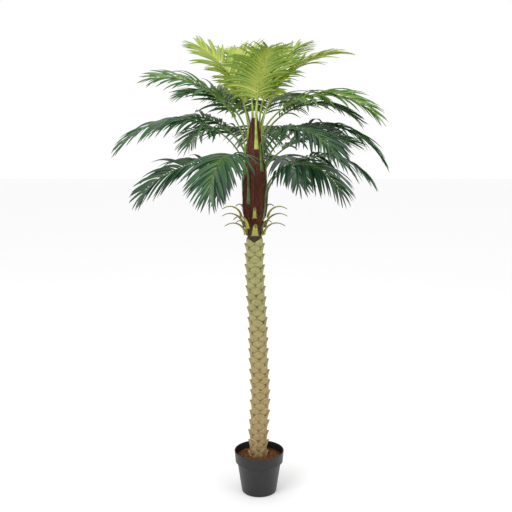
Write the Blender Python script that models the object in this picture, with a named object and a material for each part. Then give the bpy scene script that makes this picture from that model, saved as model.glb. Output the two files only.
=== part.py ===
"""Artificial areca palm, 1.8 m tall, standing in a black nursery pot.

Metres, +Z up. The origin is the centre of the pot's flat underside, +X is to the right and +Y is away
from the side that shows in the front view. An azimuth is measured from +X towards +Y, in degrees.
"""

from collections import namedtuple
from math import cos, pi, radians, sin

import bmesh
import bpy
from mathutils import Vector
from mathutils.bvhtree import BVHTree

GAP = 0.0003  # each piece stands this clear of its neighbour

# Pot: a thin moulded cup with a deep lip.
POT_HEIGHT = 0.171
POT_RIM_RADIUS = 0.0995
POT_RIM_BEVEL = 0.0013
POT_LIP_RADIUS = 0.0955
POT_LIP_HEIGHT = 0.044
POT_SHOULDER_RADIUS = 0.0875
POT_SHOULDER_DROP = 0.006
POT_FOOT_RADIUS = 0.0702
POT_FOOT_ROUND = 0.005
POT_WALL = 0.0028
POT_SIDES = 36

# Pot fill: cement under a low heap of coir, with a socket for the trunk.
FILL_EDGE_HEIGHT = 0.138
FILL_HEAP = 0.011
FILL_EDGE_DROP = 0.004
FILL_EDGE_WIDTH = 0.012
SOCKET_FLOOR = 0.060
SOCKET_ROOM = 0.0008

# Trunk: rows of leaf boots, four to a row, each row turned by half a boot.
TRUNK_TOP = 1.072
TRUNK_FOOT_RADIUS = 0.0305
TRUNK_HEAD_RADIUS = 0.0280
BOOTS_START = 0.150
BOOTS_END = 1.038
BOOT_ROWS = 42
BOOTS_PER_ROW = 4
FIRST_BOOT = 270.0  # azimuth of a boot's tip that faces the viewer
BOOT_STAND_OUT = 0.0112
BOOT_LIP = 0.0035
# The trunk sways: how far its centre line is off to one side, at a few heights.
SWAY = ((0.16, -0.004), (0.22, -0.003), (0.40, 0.004), (0.62, -0.004), (0.95, -0.018), (1.60, -0.018))

# Crown stem: the fibre-wrapped core that every frond is fixed to, as heights and radii.
STEM_PROFILE = ((TRUNK_TOP + GAP, 0.0270), (1.092, 0.0310), (1.120, 0.0425), (1.150, 0.0455),
                (1.240, 0.0445), (1.310, 0.0370), (1.370, 0.0300), (1.440, 0.0200), (1.490, 0.0110))
STEM_SIDES = 16

# Stubs: hooked remains of cut fronds. The lowest ring's feet are wide boots that clasp the trunk's head.
StubRing = namedtuple("StubRing", "height radius first_azimuth count step length width")
STUB_RINGS = (
    StubRing(1.045, 0.0345, 272.0, 5, 72.0, 0.116, 0.034),
    StubRing(1.073, 0.0410, 18.0, 4, 72.0, 0.124, 0.022),
    StubRing(1.114, 0.0515, 270.0, 5, 72.0, 0.104, 0.020),
)
STUB_DEPTH = (0.008, 0.002)  # at its foot and at its tip
STUB_TIP_WIDTH = 0.003
STUB_NARROWS = 0.6  # under 1: most of its width goes in its first part
STUB_STATIONS = 7
STUB_CLIMB = (82.0, -40.0)  # degrees above level at its foot and at its tip

# Fronds, tier by tier: colour, longest leaflet, and where ribs bend (under 1 is nearer the stem).
Tier = namedtuple("Tier", "colour leaflet bend")
TIERS = {
    "lower": Tier((0.016, 0.070, 0.030, 1.0), 0.200, 0.8),
    "middle": Tier((0.020, 0.085, 0.030, 1.0), 0.190, 0.8),
    "upper": Tier((0.045, 0.140, 0.030, 1.0), 0.185, 0.9),
    "top": Tier((0.240, 0.400, 0.040, 1.0), 0.185, 1.0),
}

# A frond leaves the stem at height and azimuth, climbs at rise degrees and bows over by bow degrees along
# its length. Its blade is rolled about the rib by roll degrees, and sag is how heavily its leaflets hang.
Frond = namedtuple("Frond", "tier height azimuth rise bow length roll sag")
FRONDS = (
    Frond("lower", 1.288, 178, 32, 80, 0.43, -40, 0.45),
    Frond("lower", 1.266, 240, 82, 164, 0.37, 0, 0.60),
    Frond("lower", 1.250, 118, 78, 160, 0.39, 0, 0.60),
    Frond("lower", 1.204, 326, 84, 142, 0.40, 12, 0.90),
    Frond("lower", 1.210, 9, 75, 120, 0.48, 15, 0.95),
    Frond("lower", 1.235, 62, 74, 136, 0.45, 0, 0.70),
    Frond("middle", 1.314, 187, 78, 122, 0.55, -15, 0.60),
    Frond("middle", 1.350, 158, 74, 104, 0.44, -15, 0.50),
    Frond("middle", 1.390, 312, 46, 92, 0.42, 0, 0.70),
    Frond("middle", 1.315, 8, 76, 130, 0.56, 15, 0.60),
    Frond("middle", 1.300, 350, 64, 84, 0.36, 10, 0.35),
    Frond("middle", 1.335, 40, 72, 122, 0.50, 0, 0.60),
    Frond("middle", 1.325, 88, 72, 122, 0.52, 0, 0.60),
    Frond("middle", 1.325, 130, 72, 112, 0.46, -10, 0.55),
    Frond("upper", 1.362, 192, 88, 94, 0.48, -28, 0.45),
    Frond("upper", 1.428, 346, 66, 106, 0.49, 22, 0.45),
    Frond("upper", 1.405, 22, 66, 100, 0.46, 15, 0.45),
    Frond("upper", 1.395, 68, 76, 98, 0.47, 0, 0.45),
    Frond("upper", 1.405, 108, 76, 98, 0.47, 0, 0.45),
    Frond("upper", 1.400, 142, 80, 94, 0.42, -15, 0.40),
    Frond("top", 1.438, 160, 88, 60, 0.40, -24, 0.35),
    Frond("top", 1.455, 106, 88, 66, 0.41, -20, 0.30),
    Frond("top", 1.473, 284, 88, 72, 0.33, 0, 0.45),
    Frond("top", 1.452, 40, 88, 60, 0.39, 6, 0.35),
    Frond("top", 1.434, 10, 86, 82, 0.46, 15, 0.35),
    Frond("top", 1.466, 74, 86, 66, 0.40, 0, 0.30),
)
SAG_LEFT_AT_TIP = 0.45  # of a frond's sag, in the stiffer leaflets at its end
SPLIT_BOW = 95.0  # a frond that bows over by more than this is two solids, parted at its highest point

# Ribs: four-sided, from a petiole at the stem to the frond's tip. Each pair is at the stem and at the tip.
RIB_WIDTH = (0.0080, 0.0028)
RIB_DEPTH = (0.0085, 0.0030)
BARE_SHARE = 0.27  # of the rib, below its first leaflets
PETIOLE_RINGS = (0.0, 0.35, 0.70)  # shares of the bare length
WALK_STEP = 0.002  # share of the rib walked at a time

# Leaflets, in pairs. Each pair of numbers is at the frond's first and at its last leaflets.
LEAFLET_PAIRS = 14
LEAFLET_SPREAD = (66.0, 26.0)  # degrees away from the rib
LEAFLET_LIFT = 14.0  # degrees above the blade's plane, so that the blade is a shallow trough
LEAFLET_THICKNESS = 0.0022
LEAFLET_FOOT = 0.48  # of the pitch between leaflets, taken up by a leaflet's foot
LEAFLET_HALF_WIDTH = 0.44  # of the pitch
LEAFLET_WIDEST = 0.46  # share of its length where a leaflet is widest
END_LEAFLETS = (0.62, 0.38)  # length of the first and the last leaflets, as shares of the longest
LONGEST_AT = 0.33  # share of the blade where leaflets are longest
SHORTENING = 1.4  # over 1: leaflets past there shorten slowly at first
END_DROOP = 0.010  # how far the frond's last leaflet hangs below the rib's line

# A leaflet is tried at full size, then shorter and bent, until it is clear of everything placed before it.
TRIAL_LENGTHS = (1.0, 0.8, 0.6)
TRIAL_SAGS = (0.0, 0.18, -0.18, 0.36, -0.36)
LEAFLET_MARGIN = 0.0009
RIB_MARGIN = 0.0006


def clear_scene():
    """Removes what the file opened with."""
    for thing in list(bpy.data.objects):
        bpy.data.objects.remove(thing)


def plastic(name, colour, roughness):
    """A moulded plastic in one colour."""
    material = bpy.data.materials.new(name)
    material.use_nodes = True
    shader = material.node_tree.nodes["Principled BSDF"]
    shader.inputs["Base Color"].default_value = colour
    shader.inputs["Roughness"].default_value = roughness
    shader.inputs["Metallic"].default_value = 0.0
    return material


def add_piece(name, mesh_data, material, smooth_angle=40.0):
    """Makes one closed, outward-facing object from a bmesh."""
    bmesh.ops.recalc_face_normals(mesh_data, faces=mesh_data.faces)
    mesh = bpy.data.meshes.new(name)
    mesh_data.to_mesh(mesh)
    mesh_data.free()
    mesh.materials.append(material)
    mesh.shade_smooth()
    mesh.set_sharp_from_angle(angle=radians(smooth_angle))
    piece = bpy.data.objects.new(name, mesh)
    bpy.context.scene.collection.objects.link(piece)
    return piece


def blend(a, b, t):
    """The value a share t of the way from a to b."""
    return a + (b - a) * t


def read_profile(profile, x):
    """Reads a rising list of (x, value) points, straight between them."""
    for (x0, v0), (x1, v1) in zip(profile, profile[1:]):
        if x <= x1:
            return blend(v0, v1, max(0.0, (x - x0) / (x1 - x0)))
    return profile[-1][1]


def sway(height):
    """Centre of the trunk or the stem at a height, eased between the sway's stations."""
    for (z0, x0), (z1, x1) in zip(SWAY, SWAY[1:]):
        if height <= z1:
            t = max(0.0, (height - z0) / (z1 - z0))
            return Vector((blend(x0, x1, t * t * (3.0 - 2.0 * t)), 0.0, height))
    return Vector((SWAY[-1][1], 0.0, height))


def outward(azimuth):
    """The level direction at an azimuth in degrees."""
    return Vector((cos(radians(azimuth)), sin(radians(azimuth)), 0.0))


def circle(centre, radius, sides):
    """Points of a level circle."""
    return [centre + outward(360.0 * i / sides) * radius for i in range(sides)]


def join_rings(mesh_data, low, high):
    """A band of faces between two rings of as many corners."""
    for i, corner in enumerate(low):
        j = (i + 1) % len(low)
        mesh_data.faces.new((corner, low[j], high[j], high[i]))


def skin_rings(rings):
    """A closed tube with flat ends, through rings of points."""
    mesh_data = bmesh.new()
    loops = [[mesh_data.verts.new(point) for point in ring] for ring in rings]
    for low, high in zip(loops, loops[1:]):
        join_rings(mesh_data, low, high)
    mesh_data.faces.new(loops[0][::-1])
    mesh_data.faces.new(loops[-1])
    return mesh_data


def pot_outside():
    """Radius and height from the underside's edge up to the rim's top."""
    lip_foot = POT_HEIGHT - POT_LIP_HEIGHT
    flat = POT_FOOT_RADIUS - POT_FOOT_ROUND
    turns = [radians(angle) for angle in (0.0, 45.0, 90.0)]
    foot = [(flat + POT_FOOT_ROUND * sin(turn), POT_FOOT_ROUND * (1.0 - cos(turn))) for turn in turns]
    return foot + [(POT_SHOULDER_RADIUS, lip_foot - POT_SHOULDER_DROP), (POT_LIP_RADIUS, lip_foot),
                   (POT_RIM_RADIUS, POT_HEIGHT - POT_RIM_BEVEL), (POT_RIM_RADIUS - POT_RIM_BEVEL, POT_HEIGHT)]


def pot_inside():
    """Radius and height from the inner floor's edge up to the rim's top."""
    lip_foot = POT_HEIGHT - POT_LIP_HEIGHT
    return [(POT_FOOT_RADIUS - POT_FOOT_ROUND - POT_WALL, POT_WALL),
            (POT_FOOT_RADIUS - POT_WALL, POT_FOOT_ROUND + POT_WALL),
            (POT_SHOULDER_RADIUS - POT_WALL, lip_foot - POT_SHOULDER_DROP),
            (POT_LIP_RADIUS - POT_WALL, lip_foot), (POT_RIM_RADIUS - POT_WALL, POT_HEIGHT)]


def make_pot():
    """The cup, open at the top, with a flat underside."""
    outline = pot_outside() + pot_inside()[::-1]
    rings = [circle(Vector((0.0, 0.0, z)), r, POT_SIDES) for r, z in outline]
    add_piece("pot", skin_rings(rings), plastic("black_plastic", (0.012, 0.012, 0.012, 1.0), 0.55))


def make_fill():
    """Cement and coir: it fills the pot, is heaped a little towards the trunk, and is bored for it."""
    wall = pot_inside()[:-1]
    slack = GAP / cos(pi / POT_SIDES)
    outline = [(r - slack, z) for r, z in wall]
    outline[0] = (outline[0][0], wall[0][1] + GAP)
    edge_foot = FILL_EDGE_HEIGHT - FILL_EDGE_DROP
    edge = read_profile([(z, r) for r, z in pot_inside()], edge_foot) - slack
    hole = TRUNK_FOOT_RADIUS + SOCKET_ROOM
    outline += [(edge, edge_foot), (edge - FILL_EDGE_WIDTH, FILL_EDGE_HEIGHT)]
    outline.append((blend(edge, hole, 0.5), FILL_EDGE_HEIGHT + FILL_HEAP / 2.0))
    rings = [circle(Vector((0.0, 0.0, z)), r, POT_SIDES) for r, z in outline]
    for z in (FILL_EDGE_HEIGHT + FILL_HEAP, SOCKET_FLOOR):
        rings.append(circle(Vector((sway(FILL_EDGE_HEIGHT).x, 0.0, z)), hole, POT_SIDES))
    add_piece("pot_fill", skin_rings(rings), plastic("coir", (0.20, 0.09, 0.03, 1.0), 0.95))


def make_trunk():
    """A plain foot in the socket, then rows of boots: each slopes outwards to its tip and steps back in."""
    spokes = 2 * BOOTS_PER_ROW
    pitch = (BOOTS_END - BOOTS_START - BOOT_LIP) / BOOT_ROWS
    foot = [TRUNK_FOOT_RADIUS - GAP] * spokes
    levels = [(SOCKET_FLOOR + GAP, foot), (FILL_EDGE_HEIGHT + FILL_HEAP, foot)]
    for row in range(BOOT_ROWS):
        tip_height = BOOTS_START + pitch * (row + 1)
        climbed = (tip_height - BOOTS_START) / (TRUNK_TOP - BOOTS_START)
        core = blend(TRUNK_FOOT_RADIUS, TRUNK_HEAD_RADIUS, climbed)
        for height, tip_share in ((tip_height, 1.0), (tip_height + BOOT_LIP, 0.0)):
            shares = [tip_share if (spoke + row) % 2 == 0 else 0.5 for spoke in range(spokes)]
            levels.append((height, [core + BOOT_STAND_OUT * share for share in shares]))
    levels += [(height, [TRUNK_HEAD_RADIUS] * spokes) for height in (BOOTS_END + BOOT_LIP, TRUNK_TOP)]
    spoke_ways = [outward(FIRST_BOOT + 360.0 * spoke / spokes) for spoke in range(spokes)]
    rings = [[sway(height) + way * radius for way, radius in zip(spoke_ways, radii)]
             for height, radii in levels]
    add_piece("trunk", skin_rings(rings), plastic("trunk_bark", (0.30, 0.27, 0.12, 1.0), 0.7), 30.0)


def make_stem():
    """The fibre-wrapped stem, swollen where the cut fronds sit and drawn in to its top."""
    rings = [circle(sway(z), r, STEM_SIDES) for z, r in STEM_PROFILE]
    add_piece("crown_stem", skin_rings(rings), plastic("palm_fibre", (0.17, 0.06, 0.025, 1.0), 0.9))


def make_stub(name, ring, azimuth, material):
    """One hooked stub: a strap that climbs beside the stem, arches over and thins to a bent-down tip."""
    out = outward(azimuth)
    across = outward(azimuth + 90.0)
    point = sway(ring.height) + out * ring.radius
    rings = []
    for station in range(STUB_STATIONS):
        t = station / (STUB_STATIONS - 1)
        climb = radians(blend(*STUB_CLIMB, t))
        along = out * cos(climb) + Vector((0.0, 0.0, sin(climb)))
        wide = across * blend(ring.width, STUB_TIP_WIDTH, t ** STUB_NARROWS) / 2.0
        deep = along.cross(across) * blend(*STUB_DEPTH, t) / 2.0
        rings.append([point + wide, point + deep, point - wide, point - deep])
        point = point + along * ring.length / (STUB_STATIONS - 1)
    add_piece(name, skin_rings(rings), material)


def make_stubs():
    """Rings of stubs round the swollen foot of the stem."""
    material = plastic("stub_green", (0.34, 0.36, 0.06, 1.0), 0.5)
    places = [(ring, ring.first_azimuth + ring.step * i) for ring in STUB_RINGS for i in range(ring.count)]
    for number, (ring, azimuth) in enumerate(places, start=1):
        make_stub(f"stub_{number:02d}", ring, azimuth, material)


Station = namedtuple("Station", "share point along side up")


def rib_shares():
    """Shares of the rib where it has a ring of corners: the petiole's, then two for each pair of leaflets."""
    pitch = (1.0 - BARE_SHARE) / LEAFLET_PAIRS
    shares = [BARE_SHARE * ring for ring in PETIOLE_RINGS]
    for pair in range(LEAFLET_PAIRS):
        start = BARE_SHARE + pitch * pair
        shares += [start, start + pitch * LEAFLET_FOOT]
    return shares


def rib_direction(frond, share):
    """Which way the rib runs at a share of its length."""
    climb = radians(frond.rise - frond.bow * share ** TIERS[frond.tier].bend)
    return outward(frond.azimuth) * cos(climb) + Vector((0.0, 0.0, sin(climb)))


def rib_line(frond, shares):
    """Stations along a frond's rib, from the stem outwards, at shares of its length."""
    level = outward(frond.azimuth + 90.0)
    clearance = RIB_DEPTH[0] / 2.0 + GAP
    reach = read_profile(STEM_PROFILE, frond.height) + clearance
    point = sway(frond.height) + outward(frond.azimuth) * reach
    stations = []
    walked = 0.0
    for share in shares:
        steps = max(1, round((share - walked) / WALK_STEP))
        step = (share - walked) / steps
        for i in range(steps):
            point = point + rib_direction(frond, walked + step * (i + 0.5)) * frond.length * step
        walked = share
        along = rib_direction(frond, share)
        roll = radians(frond.roll * share)
        side = level * cos(roll) + along.cross(level) * sin(roll)
        stations.append(Station(share, point, along, side, along.cross(side)))
    return stations


def rib_ring(station, margin=0.0):
    """Four corners of the rib at a station: two above, then two below."""
    wide = station.side * (blend(*RIB_WIDTH, station.share) / 2.0 + margin)
    deep = station.up * (blend(*RIB_DEPTH, station.share) / 2.0 + margin)
    return [station.point + wide + deep, station.point - wide + deep,
            station.point - wide - deep, station.point + wide - deep]


def blade_share(station):
    """How far along the blade a station is, from its first to its last leaflets."""
    return (station.share - BARE_SHARE) / (1.0 - BARE_SHARE)


def leaflet_length(frond, t):
    """Leaflets are longest a third of the way up the blade and shortest at its end."""
    if t < LONGEST_AT:
        share = blend(END_LEAFLETS[0], 1.0, sin(t / LONGEST_AT * pi / 2.0))
    else:
        share = blend(1.0, END_LEAFLETS[1], ((t - LONGEST_AT) / (1.0 - LONGEST_AT)) ** SHORTENING)
    return TIERS[frond.tier].leaflet * share


def rib_end(frond, station):
    """Tip of the frond's last leaflet, which goes straight on from the rib."""
    return station.point + station.along * leaflet_length(frond, 1.0) - Vector((0.0, 0.0, END_DROOP))


def drooping(along, sag, length, start, end):
    """The way from one share to another of a leaflet that turns down steadily along its length."""
    return (along + sag * (start + end)).normalized() * length * (end - start)


def leaflet_points(frond, start, end, hand, length, extra_sag=0.0, margin=0.0):
    """Back edge, front edge, keel and tip of one leaflet between two stations, on one hand of the rib."""
    t = blade_share(start)
    spread = radians(blend(*LEAFLET_SPREAD, t))
    lift = radians(LEAFLET_LIFT)
    out = start.side * hand * cos(lift) + start.up * sin(lift)
    along = start.along * cos(spread) + out * sin(spread)
    across = (start.along * sin(spread) - out * cos(spread)).normalized()
    under = along.cross(across).normalized()
    if under.dot(start.up) > 0.0:
        under.negate()
    pitch = frond.length * (1.0 - BARE_SHARE) / LEAFLET_PAIRS
    wide = across * (LEAFLET_HALF_WIDTH * pitch * sin(spread) + margin)
    sag = Vector((0.0, 0.0, -frond.sag * blend(1.0, SAG_LEFT_AT_TIP, t) - extra_sag))
    middle = (start.point + end.point) / 2.0 + drooping(along, sag, length, 0.0, LEAFLET_WIDEST)
    tip = middle + drooping(along, sag, length, LEAFLET_WIDEST, 1.0)
    return middle - wide, middle + wide, middle + under * (LEAFLET_THICKNESS + margin), tip


def leaflet_faces(foot, points):
    """Triangles of a leaflet between the four corners of its foot and its four points."""
    top_back, top_front, low_front, low_back = foot
    back, front, keel, tip = points
    return [(top_back, top_front, front), (top_back, front, back), (top_back, back, low_back),
            (low_back, back, keel), (top_front, low_front, front), (low_front, keel, front),
            (low_back, keel, low_front), (back, front, tip), (back, tip, keel), (front, keel, tip)]


def leaflet_foot(low, high, hand):
    """Corners of a leaflet's foot between two rings of a rib: top back, top front, low front, low back."""
    top, bottom = (0, 3) if hand > 0 else (1, 2)
    return low[top], high[top], high[bottom], low[bottom]


def leaflet_tree(start, end, hand, points):
    """A search tree over one leaflet."""
    foot = leaflet_foot(rib_ring(start), rib_ring(end), hand)
    return BVHTree.FromPolygons([*foot, *points], leaflet_faces((0, 1, 2, 3), (4, 5, 6, 7)))


def rib_tree(frond, stations):
    """A search tree over a whole rib and its last leaflet, a little fatter than they are."""
    corners = [corner for station in stations for corner in rib_ring(station, RIB_MARGIN)]
    faces = []
    for i in range(0, len(corners) - 4, 4):
        faces += [(i + k, i + (k + 1) % 4, i + 4 + (k + 1) % 4, i + 4 + k) for k in range(4)]
    last = len(corners) - 4
    corners.append(rib_end(frond, stations[-1]))
    faces += [(last + k, last + (k + 1) % 4, last + 4) for k in range(4)]
    return BVHTree.FromPolygons(corners, faces)


def piece_tree(piece):
    """A search tree over a finished piece."""
    corners = [vertex.co for vertex in piece.data.vertices]
    return BVHTree.FromPolygons(corners, [face.vertices for face in piece.data.polygons])


def free_leaflet(frond, start, end, hand, taken):
    """A leaflet that touches nothing taken, with its search tree, or nothing where there is no room."""
    full_length = leaflet_length(frond, blade_share(start))
    for share in TRIAL_LENGTHS:
        for extra_sag in TRIAL_SAGS:
            shape = (frond, start, end, hand, full_length * share, extra_sag)
            tree = leaflet_tree(start, end, hand, leaflet_points(*shape, LEAFLET_MARGIN))
            if not any(tree.overlap(other) for other in taken):
                return leaflet_points(*shape), tree
    return None


def frond_spans(frond, stations):
    """First and last station of each solid of a frond, which is parted just past its highest point."""
    last = len(stations) - 1
    if frond.bow <= SPLIT_BOW:
        return [("", 0, last)]
    highest = (frond.rise / frond.bow) ** (1.0 / TIERS[frond.tier].bend)
    first_leaflet = len(PETIOLE_RINGS)
    parting = next(i for i in range(first_leaflet, last, 2) if stations[i].share >= highest)
    return [("", 0, parting), ("_end", parting, last)]


def blade_body(frond, stations, first, last, leaflets):
    """One closed solid: the rib between two stations with its leaflets grown out of its sides."""
    mesh_data = bmesh.new()
    rings = [rib_ring(station) for station in stations[first:last + 1]]
    if first > 0:
        rings[0] = [corner + stations[first].along * GAP for corner in rings[0]]
    loops = [[mesh_data.verts.new(corner) for corner in ring] for ring in rings]
    mesh_data.faces.new(loops[0][::-1])
    if stations[last] is stations[-1]:
        tip = mesh_data.verts.new(rib_end(frond, stations[last]))
        for k in range(4):
            mesh_data.faces.new((loops[-1][k], loops[-1][(k + 1) % 4], tip))
    else:
        mesh_data.faces.new(loops[-1])
    for i, (low, high) in enumerate(zip(loops, loops[1:]), start=first):
        mesh_data.faces.new((low[0], low[1], high[1], high[0]))
        mesh_data.faces.new((low[2], low[3], high[3], high[2]))
        for hand in (1, -1):
            foot = leaflet_foot(low, high, hand)
            if (i, hand) not in leaflets:
                mesh_data.faces.new(foot)
                continue
            grown = [mesh_data.verts.new(point) for point in leaflets[i, hand]]
            for face in leaflet_faces(foot, grown):
                mesh_data.faces.new(face)
    return mesh_data


def make_fronds(taken):
    """All ribs are laid first, then leaflets wherever they touch no rib, no stub and no other leaflet."""
    shares = rib_shares()
    ribs = [rib_line(frond, shares) for frond in FRONDS]
    rib_trees = [rib_tree(frond, stations) for frond, stations in zip(FRONDS, ribs)]
    materials = {name: plastic(f"{name}_leaf", tier.colour, 0.42) for name, tier in TIERS.items()}
    counts = dict.fromkeys(TIERS, 0)
    for own_tree, frond, stations in zip(rib_trees, FRONDS, ribs):
        other_ribs = [tree for tree in rib_trees if tree is not own_tree]
        leaflets = {}
        for i in range(len(PETIOLE_RINGS), len(stations) - 1, 2):
            for hand in (1, -1):
                found = free_leaflet(frond, stations[i], stations[i + 1], hand, taken + other_ribs)
                if found:
                    leaflets[i, hand], tree = found
                    taken.append(tree)
        counts[frond.tier] += 1
        for ending, first, last in frond_spans(frond, stations):
            body = blade_body(frond, stations, first, last, leaflets)
            add_piece(f"{frond.tier}_frond_{counts[frond.tier]}{ending}", body, materials[frond.tier], 20.0)


clear_scene()
make_pot()
make_fill()
make_trunk()
make_stem()
make_stubs()
make_fronds([piece_tree(piece) for piece in bpy.data.objects if not piece.name.startswith("pot")])
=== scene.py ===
"""The looks of an artificial areca palm, 1.8 m tall, in a black nursery pot.

Metres, +Z up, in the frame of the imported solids: the origin is the centre of the pot's underside and the
viewer stands on the -Y side. Azimuths are in degrees, from +X towards +Y.
"""

from collections import namedtuple

import bpy
import numpy as np
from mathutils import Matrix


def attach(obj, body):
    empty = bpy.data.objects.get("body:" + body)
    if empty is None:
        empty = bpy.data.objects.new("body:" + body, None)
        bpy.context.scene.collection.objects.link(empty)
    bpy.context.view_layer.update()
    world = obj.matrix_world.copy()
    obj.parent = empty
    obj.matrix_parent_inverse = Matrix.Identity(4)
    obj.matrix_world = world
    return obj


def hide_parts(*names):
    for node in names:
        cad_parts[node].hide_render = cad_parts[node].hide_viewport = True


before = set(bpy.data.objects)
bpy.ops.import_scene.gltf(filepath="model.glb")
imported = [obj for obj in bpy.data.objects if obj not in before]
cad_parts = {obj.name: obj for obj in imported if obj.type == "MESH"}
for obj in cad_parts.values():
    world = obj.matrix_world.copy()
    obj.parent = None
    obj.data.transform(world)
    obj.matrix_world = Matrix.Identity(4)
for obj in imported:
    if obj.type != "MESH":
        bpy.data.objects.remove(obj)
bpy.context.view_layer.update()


# Pot. A thin nursery pot, injection-moulded in black polypropylene. A deep lip stiffens its mouth, its foot
# is rounded so that it leaves the mould, and its floor is recessed inside a standing ring.
POT_HEIGHT = 0.171
POT_SIDES = 96
POT_FOOT = 0.0702
POT_FOOT_ROUND = 0.005
POT_SHOULDER = 0.0875
POT_LIP_FOOT = 0.0955
POT_RIM = 0.0995
POT_LIP_HEIGHT = 0.044
POT_WALL = 0.0028
POT_BEAD = 0.0007  # the ridge along the lip's lower edge
POT_RECESS = 0.0016  # how far the underside is raised inside its standing ring
PIN_HOLE = 0.0005  # radius of the hole left at the middle of the turned floor
SCUFFS_PER_METRE = 38.0


def arc(centre, radius, first, last, steps=6):
    """Points of an arc in a plane, with its angles in degrees."""
    turns = np.radians(np.linspace(first, last, steps))
    return np.column_stack([centre[0] + radius * np.cos(turns), centre[1] + radius * np.sin(turns)])


def outward(azimuth):
    """The level direction at an azimuth, or a row of them."""
    turns = np.radians(azimuth)
    return np.stack([np.cos(turns), np.sin(turns), np.zeros_like(turns)], axis=-1)


def skin(rings):
    """Points and faces of tubes through rings of corners: rings is tube x station x corner x 3."""
    tubes, stations, corners = rings.shape[:3]
    index = np.arange(tubes * stations * corners).reshape(tubes, stations, corners)
    low, high = index[:, :-1], index[:, 1:]
    faces = np.stack([low, np.roll(low, -1, 2), np.roll(high, -1, 2), high], axis=-1)
    return rings.reshape(-1, 3), faces.reshape(-1, 4)


def grid_uv(tubes, across, along):
    """The same UV for every tube: across gives each corner's x, and along gives each station's y."""
    one = np.stack(np.broadcast_arrays(across[None], along[:, None]), axis=-1)
    return np.tile(one.reshape(-1, 2), (tubes, 1))


def hex_colour(text):
    """An sRGB colour such as #a0b0c0, turned to linear."""
    srgb = np.array([int(text[i:i + 2], 16) for i in (1, 3, 5)]) / 255.0
    linear = np.where(srgb <= 0.04045, srgb / 12.92, ((srgb + 0.055) / 1.055) ** 2.4)
    return (*linear, 1.0)


def add_node(material, kind, inputs=None, **settings):
    """Adds a node with its settings. An input is given its value, or the output that feeds it."""
    node = material.node_tree.nodes.new(kind)
    for name, value in settings.items():
        setattr(node, name, value)
    for name, value in (inputs or {}).items():
        if isinstance(value, bpy.types.NodeSocket):
            material.node_tree.links.new(value, node.inputs[name])
        else:
            node.inputs[name].default_value = value
    return node


def new_material(name, inputs):
    """A material with one shader, and the inputs that stay the same all over it."""
    material = bpy.data.materials.new(name)
    material.use_nodes = True
    shader = material.node_tree.nodes["Principled BSDF"]
    for socket, value in inputs.items():
        shader.inputs[socket].default_value = value
    return material, shader


MIX_A, MIX_B, MIXED = 6, 7, 2  # a Mix node's sockets for colours


def feed(material, shader, socket, output):
    """Links an output to a socket of the shader."""
    material.node_tree.links.new(output, shader.inputs[socket])


def colour_stops(ramp, *stops):
    """Sets a colour ramp's stops, each a place and an sRGB colour."""
    elements = ramp.color_ramp.elements
    while len(elements) < len(stops):
        elements.new(0.5)
    for element, (place, text) in zip(elements, stops):
        element.position = place
        element.color = hex_colour(text)


def add_piece(name, points, faces, materials, slot, uv=None, material_index=None, crease=30.0):
    """Makes a piece from arrays, smooth except at creases, that rides with the plant."""
    mesh = bpy.data.meshes.new(name)
    mesh.vertices.add(len(points))
    mesh.vertices.foreach_set("co", np.asarray(points, np.float32).ravel())
    mesh.loops.add(faces.size)
    mesh.loops.foreach_set("vertex_index", faces.astype(np.int32).ravel())
    mesh.polygons.add(len(faces))
    mesh.polygons.foreach_set("loop_start", np.arange(len(faces), dtype=np.int32) * faces.shape[1])
    mesh.update(calc_edges=True)
    if uv is not None:
        layer = mesh.uv_layers.new(name="UVMap")
        layer.data.foreach_set("uv", np.asarray(uv, np.float32)[faces.ravel()].ravel())
    for material in materials:
        mesh.materials.append(material)
    if material_index is not None:
        mesh.polygons.foreach_set("material_index", np.asarray(material_index, np.int32))
    mesh.validate()
    mesh.shade_smooth()
    mesh.set_sharp_from_angle(angle=np.radians(crease))
    piece = bpy.data.objects.new(name, mesh)
    bpy.context.scene.collection.objects.link(piece)
    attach(piece, "root")
    return piece


# Black polypropylene straight from the mould: a satin skin with a fine orange peel, paler where it is
# scuffed.
pot_plastic, shader = new_material("moulded_polypropylene", {"IOR": 1.49, "Roughness": 0.42})
place = add_node(pot_plastic, "ShaderNodeTexCoord")
scuffs = add_node(pot_plastic, "ShaderNodeTexNoise", {"Vector": place.outputs["Object"],
                                                      "Scale": SCUFFS_PER_METRE, "Detail": 6.0,
                                                      "Roughness": 0.65})
shade = add_node(pot_plastic, "ShaderNodeValToRGB", {"Fac": scuffs.outputs["Fac"]})
colour_stops(shade, (0.35, "#0c0c0d"), (0.75, "#1a1a1b"))
feed(pot_plastic, shader, "Base Color", shade.outputs["Color"])
gloss = add_node(pot_plastic, "ShaderNodeMapRange", {"Value": scuffs.outputs["Fac"], "To Min": 0.36,
                                                     "To Max": 0.52})
feed(pot_plastic, shader, "Roughness", gloss.outputs["Result"])
peel = add_node(pot_plastic, "ShaderNodeTexNoise", {"Vector": place.outputs["Object"], "Scale": 1.0 / 0.0012,
                                                    "Detail": 2.0})
bump = add_node(pot_plastic, "ShaderNodeBump", {"Height": peel.outputs["Fac"], "Strength": 0.12,
                                                "Distance": 0.0004})
feed(pot_plastic, shader, "Normal", bump.outputs["Normal"])

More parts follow.
